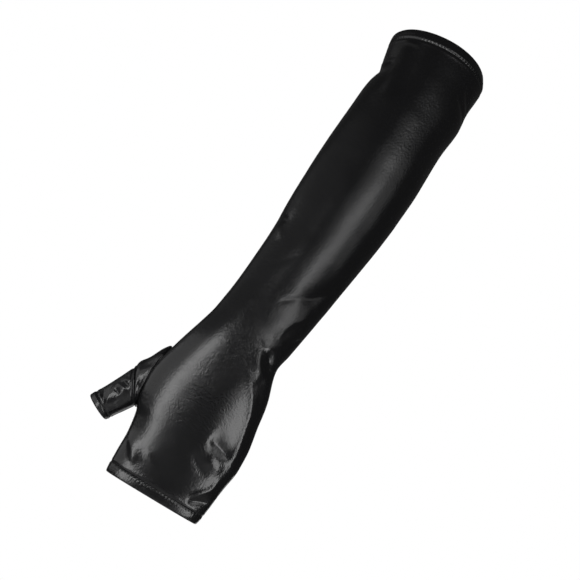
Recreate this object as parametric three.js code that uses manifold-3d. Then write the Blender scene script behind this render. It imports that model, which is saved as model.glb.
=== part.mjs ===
// Evening mitten: a long fingerless glove of coated stretch cloth for the left hand, in the form that
// it has when worn. One wide tube runs from above the elbow over the wrist and the back of the hand to
// a single opening for the four fingers. A gusset and a short stall for the thumb are sewn to its side,
// and each of the three openings ends in a turned hem.
//
// Millimetres. The origin is the middle of the arm opening. +Z runs up the arm, the fingers point
// down, -Y is the back of the hand, +Y the palm, -X the thumb side and +X the little finger side.
import * as THREE from "three";
import { mergeVertices } from "three/addons/utils/BufferGeometryUtils.js";
import Module from "manifold-3d";

const wasm = await Module();
wasm.setup();

// Lengths down the sleeve, which has three stretches one after the other.
const FOREARM_LENGTH = 190;
const WRIST_LENGTH = 96;
const HAND_LENGTH = 115;

// Widths across, from the thumb side to the little finger side, and depths from back to palm.
const FOREARM_WIDTH = 79;
const FOREARM_DEPTH = 73;
const WRIST_WIDTH = 66;
const WRIST_DEPTH = 47;
const HAND_WIDTH = 88;
const HAND_DEPTH = 38;
const FINGER_WIDTH = 75;
const FINGER_DEPTH = 25;

// The hand is bent back at the wrist, and the arm opening is cut a little aslant.
const HAND_BEND_DEG = 13;
const HAND_BEND_REACH = 60;
const HAND_BEND_ABOVE_HAND = 24;
const ARM_EDGE_PITCH_DEG = -3.7;
const ARM_EDGE_LEAN_DEG = 5.2;
const ARM_EDGE_REACH = 45;
const FINGER_EDGE_LEAN_DEG = 2;
const FINGER_EDGE_REACH = 30;

// Cloth, hems and seams.
const CLOTH = 1;
const HEM_PLIES = 2;
const HEM_PROUD = 0.2;
const SEAM_GAP = 0.3;
const ARM_HEM = 8.5;
const FINGER_HEM = 7.5;
const THUMB_HEM = 5;

// The thumb. The middle of its hole is placed from the hand's side and from the finger opening.
const THUMB_LENGTH = 32.2;
const THUMB_GUSSET_LENGTH = 13;
const THUMB_MOUTH_WIDTH = 21;
const THUMB_MOUTH_DEPTH = 19.4;
const THUMB_BASE_WIDTH = 24;
const THUMB_BASE_DEPTH = 23;
const THUMB_HOLE_HEIGHT = 49.4;
const THUMB_HOLE_DEPTH = 23;
const THUMB_SPREAD_DEG = 26;
const THUMB_DROP_DEG = 17;
const THUMB_SEAM_SKEW_DEG = 33;
const THUMB_HOLE_INSET = 3;
const THUMB_HOLE_UP = 72.5;
const THUMB_TOWARDS_PALM = 6.5;

// Fineness of the facets, and the distance at which two of their corners are one.
const SLEEVE_SIDES = 48;
const THUMB_SIDES = 28;
const HEM_RINGS = 2;
const THUMB_RINGS = 7;
const GUSSET_RINGS = 6;
const SHORTEST_RING = 1;
const TANGENT_STEP = 0.02;
const MERGE_DISTANCE = 1e-4;

const BLACK_CLOTH = { color: 0x161617, roughness: 0.36, metalness: 0 };

const radians = THREE.MathUtils.degToRad;
const SLEEVE_LENGTH = FOREARM_LENGTH + WRIST_LENGTH + HAND_LENGTH;
const BEND_START = FOREARM_LENGTH + WRIST_LENGTH - HAND_BEND_ABOVE_HAND;

// A stretch of the sleeve: where it starts below the arm opening, and the sizes its rows are shares of.
const forearm = { start: 0, length: FOREARM_LENGTH, width: FOREARM_WIDTH, depth: FOREARM_DEPTH };
const wrist = { start: FOREARM_LENGTH, length: WRIST_LENGTH, width: WRIST_WIDTH, depth: WRIST_DEPTH };
const handStart = FOREARM_LENGTH + WRIST_LENGTH;
const hand = { start: handStart, length: HAND_LENGTH, width: HAND_WIDTH, depth: HAND_DEPTH };
const fingers = { start: handStart, length: HAND_LENGTH, width: FINGER_WIDTH, depth: FINGER_DEPTH };

// The sleeve's outline. along is a share of the stretch's length, width and side (the middle's shift
// towards the little finger) of its width, back and palm of its depth. square is 2 for an oval and
// more for a flatter back and palm.
const SLEEVE_SECTIONS = [
  { of: forearm, along: 0.0, width: 0.985, side: 0.0, back: 0.49, palm: 0.51, square: 2.0 },
  { of: forearm, along: 0.045, width: 1.02, side: 0.03, back: 0.5, palm: 0.51, square: 2.0 },
  { of: forearm, along: 0.14, width: 1.0, side: 0.034, back: 0.5, palm: 0.51, square: 2.0 },
  { of: forearm, along: 0.23, width: 1.02, side: 0.047, back: 0.495, palm: 0.51, square: 2.0 },
  { of: forearm, along: 0.35, width: 0.99, side: 0.039, back: 0.49, palm: 0.51, square: 2.0 },
  { of: forearm, along: 0.57, width: 1.008, side: 0.039, back: 0.465, palm: 0.5, square: 2.05 },
  { of: forearm, along: 0.79, width: 0.975, side: 0.03, back: 0.425, palm: 0.465, square: 2.1 },
  { of: wrist, along: 0.0, width: 1.07, side: 0.02, back: 0.585, palm: 0.64, square: 2.1 },
  { of: wrist, along: 0.45, width: 1.0, side: -0.023, back: 0.5, palm: 0.54, square: 2.15 },
  { of: wrist, along: 0.76, width: 0.98, side: -0.071, back: 0.45, palm: 0.475, square: 2.2 },
  { of: wrist, along: 0.93, width: 1.0, side: -0.115, back: 0.425, palm: 0.46, square: 2.2 },
  { of: hand, along: 0.14, width: 0.9, side: -0.08, back: 0.49, palm: 0.59, square: 2.3 },
  { of: hand, along: 0.3, width: 0.99, side: -0.083, back: 0.47, palm: 0.61, square: 2.3 },
  { of: hand, along: 0.44, width: 1.025, side: -0.062, back: 0.45, palm: 0.6, square: 2.3 },
  { of: hand, along: 0.55, width: 1.0, side: -0.037, back: 0.43, palm: 0.55, square: 2.35 },
  { of: hand, along: 0.61, width: 0.966, side: -0.018, back: 0.415, palm: 0.51, square: 2.4 },
  { of: hand, along: 0.74, width: 0.91, side: -0.011, back: 0.375, palm: 0.43, square: 2.4 },
  { of: fingers, along: 0.88, width: 1.04, side: -0.013, back: 0.5, palm: 0.56, square: 2.4 },
  { of: fingers, along: 1.0, width: 1.0, side: -0.016, back: 0.48, palm: 0.52, square: 2.4 },
];

// The main folds. along is a share of the stretch's length, angle goes round from the little finger
// side (0) over the back (90) to the thumb side (180), and slant turns the fold from upright towards
// the little finger as it rises. length, breadth and height are shares of the stretch's width. height
// is outward, so a crease has a negative one.
const SLEEVE_FOLDS = [
  { of: forearm, along: 0.16, angle: 180, slant: 90, length: 1.0, breadth: 0.15, height: -0.061 },
  { of: forearm, along: 0.2, angle: 168, slant: 90, length: 0.43, breadth: 0.05, height: 0.013 },
  { of: forearm, along: 0.21, angle: 114, slant: 2, length: 0.76, breadth: 0.09, height: -0.02 },
  { of: forearm, along: 0.13, angle: 30, slant: -52, length: 0.2, breadth: 0.038, height: -0.014 },
  { of: forearm, along: 0.97, angle: 152, slant: 40, length: 0.23, breadth: 0.05, height: -0.015 },
  { of: wrist, along: 0.4, angle: 66, slant: 40, length: 0.5, breadth: 0.05, height: -0.024 },
  { of: wrist, along: 0.46, angle: 50, slant: 42, length: 0.5, breadth: 0.055, height: 0.022 },
  { of: wrist, along: 0.48, angle: 34, slant: 44, length: 0.5, breadth: 0.05, height: -0.024 },
  { of: wrist, along: 0.56, angle: 40, slant: 38, length: 0.5, breadth: 0.055, height: 0.024 },
  { of: wrist, along: 0.64, angle: 28, slant: 34, length: 0.55, breadth: 0.055, height: -0.048 },
  { of: wrist, along: 1.01, angle: 50, slant: -42, length: 0.42, breadth: 0.048, height: 0.032 },
  { of: wrist, along: 0.97, angle: 34, slant: -46, length: 0.42, breadth: 0.065, height: -0.036 },
  { of: hand, along: 0.11, angle: 56, slant: -66, length: 0.3, breadth: 0.04, height: -0.018 },
  { of: hand, along: 0.49, angle: 54, slant: -78, length: 0.27, breadth: 0.057, height: -0.0125 },
  { of: hand, along: 0.83, angle: 42, slant: 45, length: 0.23, breadth: 0.036, height: 0.016 },
  { of: hand, along: 0.875, angle: 42, slant: 45, length: 0.2, breadth: 0.036, height: -0.017 },
  { of: hand, along: 0.85, angle: 130, slant: -29, length: 0.2, breadth: 0.041, height: -0.0125 },
];

// The rings of facets down the sleeve: how many there are between two shares of a stretch.
const SLEEVE_RINGS = [
  { of: forearm, from: 0, to: 0.32, rings: 9 },
  { of: forearm, from: 0.32, to: 1, rings: 7 },
  { of: wrist, from: 0, to: 1, rings: 14 },
  { of: hand, from: 0, to: 1, rings: 12 },
];

// A value of a table's column at a place, on a smooth curve through the rows.
function smoothColumn(rows, column, at) {
  const last = rows.length - 1;
  let i = rows.findIndex((row) => row.at >= at);
  i = THREE.MathUtils.clamp(i < 0 ? last : i, 1, last);
  const [a, b] = [rows[i - 1], rows[i]];
  const slope = (j) => {
    const [p, q] = [rows[Math.max(j - 1, 0)], rows[Math.min(j + 1, last)]];
    return (q[column] - p[column]) / (q.at - p.at);
  };
  const span = b.at - a.at;
  const t = THREE.MathUtils.clamp((at - a.at) / span, 0, 1);
  const rise = 3 * t * t - 2 * t * t * t;
  const pull = slope(i - 1) * t * (1 - t) * (1 - t) + slope(i) * t * t * (t - 1);
  return a[column] + (b[column] - a[column]) * rise + span * pull;
}

const sleeveRows = SLEEVE_SECTIONS.map(({ of, along, width, side, back, palm, square }) => ({
  at: of.start + along * of.length,
  half: (width * of.width) / 2,
  side: side * of.width,
  back: back * of.depth,
  palm: palm * of.depth,
  square,
}));

// How far below the middle plane of the arm the hand lies at a place, and how steeply it goes there.
function bendAt(down) {
  const turned = THREE.MathUtils.clamp((down - BEND_START) / HAND_BEND_REACH, 0, 1);
  const full = Math.tan(radians(HAND_BEND_DEG));
  const beyond = Math.max(down - BEND_START - HAND_BEND_REACH, 0);
  return {
    y: full * ((HAND_BEND_REACH * turned * turned) / 2 + beyond),
    pitch: radians(HAND_BEND_DEG) * turned,
  };
}

// The tilt of a section: the slanted arm edge fades out down the arm, and the hand's bend takes over.
function tiltAt(down) {
  const nearArm = Math.max(1 - down / ARM_EDGE_REACH, 0);
  const nearFingers = Math.max(1 - (SLEEVE_LENGTH - down) / FINGER_EDGE_REACH, 0);
  return {
    pitch: bendAt(down).pitch + radians(ARM_EDGE_PITCH_DEG) * nearArm,
    lean: radians(ARM_EDGE_LEAN_DEG) * nearArm + radians(FINGER_EDGE_LEAN_DEG) * nearFingers,
  };
}

// A point of an oval with flattened sides, moved square to the oval by a depth inward.
function ovalPoint({ half, back, palm, square }, angle, inward) {
  const power = 2 / square;
  const point = (turn) => {
    const [c, s] = [Math.cos(turn), Math.sin(turn)];
    const deep = s > 0 ? back : palm;
    return new THREE.Vector2(
      half * Math.sign(c) * Math.abs(c) ** power,
      -deep * Math.sign(s) * Math.abs(s) ** power,
    );
  };
  const along = point(angle + TANGENT_STEP).sub(point(angle - TANGENT_STEP)).normalize();
  const outward = new THREE.Vector2(-along.y, along.x);
  const p = point(angle);
  if (outward.dot(p) < 0) outward.negate();
  return p.addScaledVector(outward, -inward);
}

// How far the folds move the cloth outwards at a place.
function foldHeight(folds, down, angle, girth) {
  let height = 0;
  for (const fold of folds) {
    const away = down - fold.at;
    const turn = THREE.MathUtils.euclideanModulo(radians(fold.angle) - angle + Math.PI, 2 * Math.PI);
    const round = ((turn - Math.PI) * girth) / (2 * Math.PI);
    const slant = radians(fold.slant);
    const lengthwise = -away * Math.cos(slant) + round * Math.sin(slant);
    const across = away * Math.sin(slant) + round * Math.cos(slant);
    const end = Math.min(Math.abs(lengthwise) / (fold.length / 2), 1);
    height += fold.height * Math.exp(-((across / fold.breadth) ** 2)) * (1 - end * end) ** 2;
  }
  return height;
}

const sized = (fold, at, width) => ({
  ...fold,
  at,
  length: fold.length * width,
  breadth: fold.breadth * width,
  height: fold.height * width,
});
const sleeveFolds = SLEEVE_FOLDS.map((fold) =>
  sized(fold, fold.of.start + fold.along * fold.of.length, fold.of.width),
);

const sectionAt = (rows, columns, at) =>
  Object.fromEntries(columns.map((column) => [column, smoothColumn(rows, column, at)]));

// A point of the sleeve's cloth: down from the arm opening, round by an angle, and inward from outside.
function sleevePoint(down, angle, inward) {
  const section = sectionAt(sleeveRows, ["half", "side", "back", "palm", "square"], down);
  const girth = Math.PI * (section.half + (section.back + section.palm) / 2);
  const fold = foldHeight(sleeveFolds, down, angle, girth);
  const p = ovalPoint(section, angle, inward - fold);
  const { pitch, lean } = tiltAt(down);
  return new THREE.Vector3(
    section.side + p.x * Math.cos(lean),
    bendAt(down).y + p.y * Math.cos(pitch),
    -down + p.x * Math.sin(lean) + p.y * Math.sin(pitch),
  );
}

// The thumb's own directions: along it to its mouth, out from the hand, and down to the palm.
const thumbAlong = new THREE.Vector3(
  -Math.sin(radians(THUMB_SPREAD_DEG)) * Math.cos(radians(THUMB_DROP_DEG)),
  Math.sin(radians(THUMB_DROP_DEG)),
  -Math.cos(radians(THUMB_SPREAD_DEG)) * Math.cos(radians(THUMB_DROP_DEG)),
);
const thumbOut = new THREE.Vector3(
  -Math.cos(radians(THUMB_SPREAD_DEG)),
  0,
  Math.sin(radians(THUMB_SPREAD_DEG)),
);
const thumbDeep = new THREE.Vector3().crossVectors(thumbAlong, thumbOut);

// The thumb's sections, from its mouth up to inside the hand. up is a share of THUMB_LENGTH, or of
// THUMB_GUSSET_LENGTH from the seam on, and side (out from the hand) of THUMB_BASE_WIDTH. width and
// depth are of the sizes named in of, and skew is how far the outer end is turned up the arm.
const mouthSize = { width: THUMB_MOUTH_WIDTH, depth: THUMB_MOUTH_DEPTH };
const baseSize = { width: THUMB_BASE_WIDTH, depth: THUMB_BASE_DEPTH };
const holeSize = { width: THUMB_HOLE_HEIGHT, depth: THUMB_HOLE_DEPTH };
const STALL_SECTIONS = [
  { of: mouthSize, up: 0.0, width: 1.0, depth: 1.0, side: -0.02, skew: 0 },
  { of: mouthSize, up: 0.33, width: 1.045, depth: 1.03, side: -0.054, skew: 10 },
  { of: baseSize, up: 0.66, width: 1.02, depth: 0.93, side: -0.077, skew: 22 },
  { of: baseSize, up: 1.0, width: 1.183, depth: 1.0, side: -0.0875, skew: THUMB_SEAM_SKEW_DEG },
];
const GUSSET_SECTIONS = [
  { of: baseSize, up: 0.0, width: 1.27, depth: 1.02, side: -0.08, skew: THUMB_SEAM_SKEW_DEG },
  { of: baseSize, up: 0.5, width: 1.54, depth: 1.06, side: -0.0917, skew: 49 },
  { of: holeSize, up: 1.0, width: 1.0, depth: 1.04, side: -0.108, skew: 61 },
  { of: holeSize, up: 1.3, width: 0.99, depth: 1.0, side: -0.25, skew: 62 },
  { of: holeSize, up: 2.0, width: 0.93, depth: 0.9, side: -0.7, skew: 62 },
];

// The thumb's folds: up from the mouth as a share of THUMB_LENGTH, round from the side that faces away
// from the hand (0) over its back (90), and the rest as shares of THUMB_BASE_WIDTH.
const THUMB_FOLDS = [
  { up: 0.2, angle: 70, slant: 60, length: 0.92, breadth: 0.11, height: -0.038 },
  { up: 0.42, angle: 95, slant: 48, length: 1.08, breadth: 0.1, height: 0.042 },
  { up: 0.6, angle: 80, slant: 62, length: 1.17, breadth: 0.11, height: -0.046 },
  { up: 0.78, angle: 110, slant: 58, length: 1.0, breadth: 0.1, height: 0.042 },
];

const thumbRowsOf = (sections, start, length) =>
  sections.map(({ of, up, width, depth, side, skew }) => ({
    at: start + up * length,
    half: (width * of.width) / 2,
    back: (depth * of.depth) / 2,
    palm: (depth * of.depth) / 2,
    side: side * THUMB_BASE_WIDTH,
    skew,
  }));
const stallRows = thumbRowsOf(STALL_SECTIONS, 0, THUMB_LENGTH);
const gussetStart = THUMB_LENGTH + SEAM_GAP / Math.cos(radians(THUMB_SEAM_SKEW_DEG));
const gussetRows = thumbRowsOf(GUSSET_SECTIONS, gussetStart, THUMB_GUSSET_LENGTH);
const thumbFolds = THUMB_FOLDS.map((fold) => sized(fold, fold.up * THUMB_LENGTH, THUMB_BASE_WIDTH));

// The middle of the hole lies inside the hand's thumb side, and the mouth is found from it.
const holeDown = SLEEVE_LENGTH - THUMB_HOLE_UP;
const holeRow = gussetRows.find((row) => row.at >= gussetStart + THUMB_GUSSET_LENGTH);
const handSide = smoothColumn(sleeveRows, "side", holeDown) - smoothColumn(sleeveRows, "half", holeDown);
const thumbMouth = new THREE.Vector3(
  handSide + THUMB_HOLE_INSET,
  bendAt(holeDown).y + THUMB_TOWARDS_PALM,
  -holeDown,
)
  .addScaledVector(thumbAlong, holeRow.at)
  .addScaledVector(thumbOut, -holeRow.side);

// A point of the thumb's cloth: up from the mouth, round by an angle, and inward from outside.
function thumbPoint(rows, up, angle, inward) {
  const section = sectionAt(rows, ["half", "side", "back", "palm", "skew"], up);
  const fold = foldHeight(thumbFolds, up, angle, Math.PI * (section.half + section.back));
  const p = ovalPoint({ ...section, square: 2 }, angle, inward - fold);
  const skew = radians(section.skew);
  return thumbMouth
    .clone()
    .addScaledVector(thumbAlong, -up - p.x * Math.sin(skew))
    .addScaledVector(thumbOut, section.side + p.x * Math.cos(skew))
    .addScaledVector(thumbDeep, p.y);
}

// A lathe's rings, with each point moved to where place puts it from its place along the tube, its
// angle and the profile's first number, which is 0 on the axis of a solid.
function wrapRound(profile, sides, place) {
  const geometry = new THREE.LatheGeometry(profile, sides);
  geometry.deleteAttribute("normal");
  geometry.deleteAttribute("uv");
  const position = geometry.getAttribute("position");
  for (let k = 0; k < position.count; k++) {
    const turn = Math.floor(k / profile.length) % sides;
    const { x, y: along } = profile[k % profile.length];
    const p = place(along, (turn / sides) * 2 * Math.PI, x);
    position.setXYZ(k, p.x, p.y, p.z);
  }
  return geometry;
}

// A wall of cloth between two places, with the rings where stops says.
function wallProfile(stops, outer, inner) {
  const down = stops.map((stop) => new THREE.Vector2(outer, stop));
  const up = [...stops].reverse().map((stop) => new THREE.Vector2(inner, stop));
  return [...down, ...up, down[0].clone()];
}

const evenStops = (from, to, rings) =>
  Array.from({ length: rings + 1 }, (_, i) => THREE.MathUtils.lerp(from, to, i / rings));

// A closed geometry as a solid that can be cut.
function solidOf(geometry) {
  const merged = mergeVertices(geometry, MERGE_DISTANCE);
  return new wasm.Manifold(
    new wasm.Mesh({
      numProp: 3,
      vertProperties: merged.getAttribute("position").array,
      triVerts: new Uint32Array(merged.index.array),
    }),
  );
}

function geometryOf(solid) {
  const { vertProperties, triVerts } = solid.getMesh();
  const geometry = new THREE.BufferGeometry();
  geometry.setAttribute("position", new THREE.BufferAttribute(vertProperties, 3));
  geometry.setIndex(new THREE.BufferAttribute(triVerts, 1));
  return geometry;
}

// A solid of all that a tube holds, down to a depth inside its cloth, closed by a fan at each end.
function filledTube(stops, sides, place, inward) {
  const ends = [stops[0], stops[stops.length - 1]];
  const middles = ends.map((along) => {
    const ring = evenStops(0, 2 * Math.PI, sides).slice(1).map((angle) => place(along, angle, inward));
    return ring.reduce((sum, p) => sum.add(p), new THREE.Vector3()).divideScalar(sides);
  });
  const rim = stops.map((stop) => new THREE.Vector2(1, stop));
  const profile = [new THREE.Vector2(0, ends[0]), ...rim, new THREE.Vector2(0, ends[1])];
  const placed = (along, angle, x) => (x ? place(along, angle, inward) : middles[ends.indexOf(along)]);
  return solidOf(wrapRound(profile, sides, placed));
}

const sleeveStops = () => {
  const [from, to] = [ARM_HEM + SEAM_GAP, SLEEVE_LENGTH - FINGER_HEM - SEAM_GAP];
  const stops = SLEEVE_RINGS.flatMap(({ of, from: high, to: low, rings }) =>
    evenStops(high, low, rings).slice(1).map((share) => of.start + share * of.length),
  );
  return [from, ...stops.filter((stop) => stop > from + SHORTEST_RING && stop < to - SHORTEST_RING), to];
};

const gussetPlace = (up, angle, inward) => thumbPoint(gussetRows, up, angle, inward);
const stallPlace = (up, angle, inward) => thumbPoint(stallRows, up, angle, inward);
const gussetStops = () => evenStops(gussetStart, gussetRows[gussetRows.length - 1].at, GUSSET_RINGS);

// All that the sleeve holds, with the seam's gap round it.
const sleeveFilled = () => filledTube(sleeveStops(), SLEEVE_SIDES, sleevePoint, -SEAM_GAP);

// The tube from the arm hem to the finger hem, with the hole that the thumb leaves by.
function sleeve() {
  const wall = solidOf(wrapRound(wallProfile(sleeveStops(), 0, CLOTH), SLEEVE_SIDES, sleevePoint));
  const hollow = filledTube(gussetStops(), THUMB_SIDES, gussetPlace, CLOTH);
  return geometryOf(wall.subtract(hollow));
}

// The piece between the thumb hole and the stall, cut to lie against the sleeve's outside.
function thumbGusset() {
  const wall = solidOf(wrapRound(wallProfile(gussetStops(), 0, CLOTH), THUMB_SIDES, gussetPlace));
  return geometryOf(wall.subtract(sleeveFilled()));
}

// The tube round the thumb, from its seam with the gusset to its hem, cut clear of the sleeve.
function thumbStall() {
  const stops = evenStops(THUMB_HEM + SEAM_GAP, THUMB_LENGTH, THUMB_RINGS);
  const wall = solidOf(wrapRound(wallProfile(stops, 0, CLOTH), THUMB_SIDES, stallPlace));
  return geometryOf(wall.subtract(sleeveFilled()));
}

// A hem is the cloth turned in on itself, so it is some plies thick and stands a little proud.
function hem(from, to, sides, place) {
  const plies = HEM_PLIES * CLOTH - HEM_PROUD;
  return wrapRound(wallProfile(evenStops(from, to, HEM_RINGS), -HEM_PROUD, plies), sides, place);
}

const mitten = new THREE.Group();

function addPiece(name, geometry) {
  const mesh = new THREE.Mesh(geometry, new THREE.MeshStandardMaterial(BLACK_CLOTH));
  mesh.name = name;
  mitten.add(mesh);
}

addPiece("sleeve", sleeve());
addPiece("thumb_gusset", thumbGusset());
addPiece("thumb_stall", thumbStall());
addPiece("arm_hem", hem(0, ARM_HEM, SLEEVE_SIDES, sleevePoint));
addPiece("finger_hem", hem(SLEEVE_LENGTH - FINGER_HEM, SLEEVE_LENGTH, SLEEVE_SIDES, sleevePoint));
addPiece("thumb_hem", hem(0, THUMB_HEM, THUMB_SIDES, stallPlace));

export default mitten;
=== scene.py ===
"""Evening mitten: a long fingerless glove of black coated stretch cloth for the left hand, as worn.

One wide tube of cloth runs down the arm to a single opening for the four fingers. A gusset and a short
stall for the thumb are sewn to its side, and each opening ends in a turned and stitched hem.

Metres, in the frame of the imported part: the origin is the middle of the arm opening, +Z runs up the arm,
-Y is the back of the hand, +Y the palm, -X the thumb side and +X the little finger side.
"""

from collections import namedtuple
from math import cos, pi, radians, sin, tan

import bmesh
import bpy
import numpy as np
from mathutils import Matrix, Quaternion, Vector, noise
from mathutils.bvhtree import BVHTree


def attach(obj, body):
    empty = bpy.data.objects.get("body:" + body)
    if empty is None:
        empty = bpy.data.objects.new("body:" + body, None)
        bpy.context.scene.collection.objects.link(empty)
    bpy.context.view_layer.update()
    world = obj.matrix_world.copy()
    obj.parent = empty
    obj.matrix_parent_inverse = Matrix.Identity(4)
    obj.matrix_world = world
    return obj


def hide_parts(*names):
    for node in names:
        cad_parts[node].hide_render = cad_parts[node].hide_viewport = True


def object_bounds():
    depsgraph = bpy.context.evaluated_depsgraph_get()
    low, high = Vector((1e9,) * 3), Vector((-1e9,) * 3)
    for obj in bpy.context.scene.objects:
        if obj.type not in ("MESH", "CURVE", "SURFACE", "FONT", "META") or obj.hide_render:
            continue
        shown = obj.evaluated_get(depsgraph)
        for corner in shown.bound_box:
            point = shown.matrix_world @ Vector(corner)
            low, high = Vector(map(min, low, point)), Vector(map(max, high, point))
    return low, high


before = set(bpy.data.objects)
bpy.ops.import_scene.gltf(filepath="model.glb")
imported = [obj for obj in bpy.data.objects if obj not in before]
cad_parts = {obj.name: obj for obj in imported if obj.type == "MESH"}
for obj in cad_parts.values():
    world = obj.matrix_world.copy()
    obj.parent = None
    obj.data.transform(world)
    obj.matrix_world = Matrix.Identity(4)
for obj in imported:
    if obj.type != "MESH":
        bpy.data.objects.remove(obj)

MM = 0.001
BODY = "root"
cad_low, cad_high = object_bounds()

# The part's own sizes: lengths down the sleeve, widths across it and depths from back to palm.
FOREARM_LENGTH, WRIST_LENGTH, HAND_LENGTH = 190 * MM, 96 * MM, 115 * MM
FOREARM_WIDTH, FOREARM_DEPTH = 79 * MM, 73 * MM
WRIST_WIDTH, WRIST_DEPTH = 66 * MM, 47 * MM
HAND_WIDTH, HAND_DEPTH = 88 * MM, 38 * MM
FINGER_WIDTH, FINGER_DEPTH = 75 * MM, 25 * MM
HAND_BEND, HAND_BEND_REACH, HAND_BEND_ABOVE_HAND = radians(13), 60 * MM, 24 * MM
ARM_EDGE_PITCH, ARM_EDGE_LEAN, ARM_EDGE_REACH = radians(-3.7), radians(5.2), 45 * MM
FINGER_EDGE_LEAN, FINGER_EDGE_REACH = radians(2), 30 * MM
ARM_HEM, FINGER_HEM, THUMB_HEM = 8.5 * MM, 7.5 * MM, 5 * MM
THUMB_LENGTH, THUMB_GUSSET_LENGTH = 32.2 * MM, 13 * MM
THUMB_MOUTH_WIDTH, THUMB_MOUTH_DEPTH = 21 * MM, 19.4 * MM
THUMB_BASE_WIDTH, THUMB_BASE_DEPTH = 24 * MM, 23 * MM
THUMB_HOLE_HEIGHT, THUMB_HOLE_DEPTH = 49.4 * MM, 23 * MM
THUMB_SPREAD, THUMB_DROP, THUMB_SEAM_SKEW_DEG = radians(26), radians(17), 33
THUMB_HOLE_INSET, THUMB_HOLE_UP, THUMB_TOWARDS_PALM = 3 * MM, 72.5 * MM, 6.5 * MM

SLEEVE_LENGTH = FOREARM_LENGTH + WRIST_LENGTH + HAND_LENGTH
BEND_START = FOREARM_LENGTH + WRIST_LENGTH - HAND_BEND_ABOVE_HAND
SLEEVE_START, SLEEVE_END = ARM_HEM, SLEEVE_LENGTH - FINGER_HEM

# The cloth: its wall, its hems and seams, and the share of the worn girth that it is cut to, because it
# stretches across.
CLOTH = 0.8 * MM
HEM_THICK = 1.6 * MM
SEAM_TUCK, SEAM_OVERLAP, LEAST_GUSSET = 1.2 * MM, 0.3 * MM, 0.2 * MM
ARM_PUFF, FINGER_PUFF, THUMB_PUFF = 0.32 * MM, 0.3 * MM, 0.2 * MM
PUCKER_HEIGHT, PUCKER_BREADTH = 0.14 * MM, 1.6 * MM
STITCH_PITCH, STITCH_LENGTH, STITCH_THICK = 2.7 * MM, 1.7 * MM, 0.34 * MM
CUT_SHARE = 0.83

# The groove along each row of stitches (depth, breadth), and the swell on both sides of it, as shares.
ARM_GROOVE = 0.35 * MM, 0.9 * MM
FINGER_GROOVE = 0.22 * MM, 0.9 * MM
THUMB_GROOVE = 0.3 * MM, 0.7 * MM
SWELL_HEIGHT, SWELL_AWAY = 0.5, 2.2

# How creases and one-sided folds are rounded, and from which ratio of breadths a fold is one-sided.
CREASE_SHARPNESS, ONE_SIDED_FROM = 1.35, 2.4

# How finely each piece is made. The back has finer facets than the palm.
SLEEVE_SIDES = 176
ARM_HEM_SIDES, FINGER_HEM_SIDES = 440, 320
THUMB_SIDES = 144
BACK_FINER = 0.4
TANGENT_STEP = 0.02
THUMB_TURNS = np.linspace(0, 2 * pi, 97)[:-1]
ENTRY_STEP, ENTRY_HALVINGS = 0.5 * MM, 8
MERGE_DISTANCE, NEAR_PALM_LINE = 1e-7, 1e-5


def table(columns, rows):
    """Rows whose columns have names."""
    row_type = namedtuple("Row", columns)
    return [row_type(*row) for row in rows]


Stretch = namedtuple("Stretch", "start length width depth")
forearm = Stretch(0, FOREARM_LENGTH, FOREARM_WIDTH, FOREARM_DEPTH)
wrist = Stretch(FOREARM_LENGTH, WRIST_LENGTH, WRIST_WIDTH, WRIST_DEPTH)
hand = Stretch(FOREARM_LENGTH + WRIST_LENGTH, HAND_LENGTH, HAND_WIDTH, HAND_DEPTH)
fingers = Stretch(FOREARM_LENGTH + WRIST_LENGTH, HAND_LENGTH, FINGER_WIDTH, FINGER_DEPTH)

# The sleeve's outline. along is a share of the stretch's length, width and side (the middle's shift
# towards the little finger) of its width, back and palm of its depth. square is 2 for an oval and more
# for a flatter back and palm.
SLEEVE_SECTIONS = table("of along width side back palm square", [
    (forearm, 0.0, 0.985, 0.0, 0.49, 0.51, 2.0),
    (forearm, 0.045, 1.02, 0.03, 0.5, 0.51, 2.0),
    (forearm, 0.14, 1.0, 0.034, 0.5, 0.51, 2.0),
    (forearm, 0.23, 1.02, 0.047, 0.495, 0.51, 2.0),
    (forearm, 0.35, 0.99, 0.039, 0.49, 0.51, 2.0),
    (forearm, 0.57, 1.008, 0.039, 0.465, 0.5, 2.05),
    (forearm, 0.79, 0.975, 0.03, 0.425, 0.465, 2.1),
    (wrist, 0.0, 1.07, 0.02, 0.585, 0.64, 2.1),
    (wrist, 0.45, 1.0, -0.023, 0.5, 0.54, 2.25),
    (wrist, 0.76, 0.98, -0.071, 0.45, 0.475, 2.65),
    (wrist, 0.93, 1.0, -0.115, 0.425, 0.46, 2.8),
    (hand, 0.14, 0.9, -0.08, 0.49, 0.59, 2.7),
    (hand, 0.3, 0.99, -0.083, 0.47, 0.61, 2.45),
    (hand, 0.44, 1.025, -0.062, 0.45, 0.6, 2.3),
    (hand, 0.55, 1.0, -0.037, 0.43, 0.55, 2.35),
    (hand, 0.61, 0.966, -0.018, 0.415, 0.51, 2.4),
    (hand, 0.74, 0.91, -0.011, 0.375, 0.43, 2.4),
    (fingers, 0.88, 1.04, -0.013, 0.5, 0.56, 2.4),
    (fingers, 1.0, 1.0, -0.016, 0.48, 0.52, 2.4),
])

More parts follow.
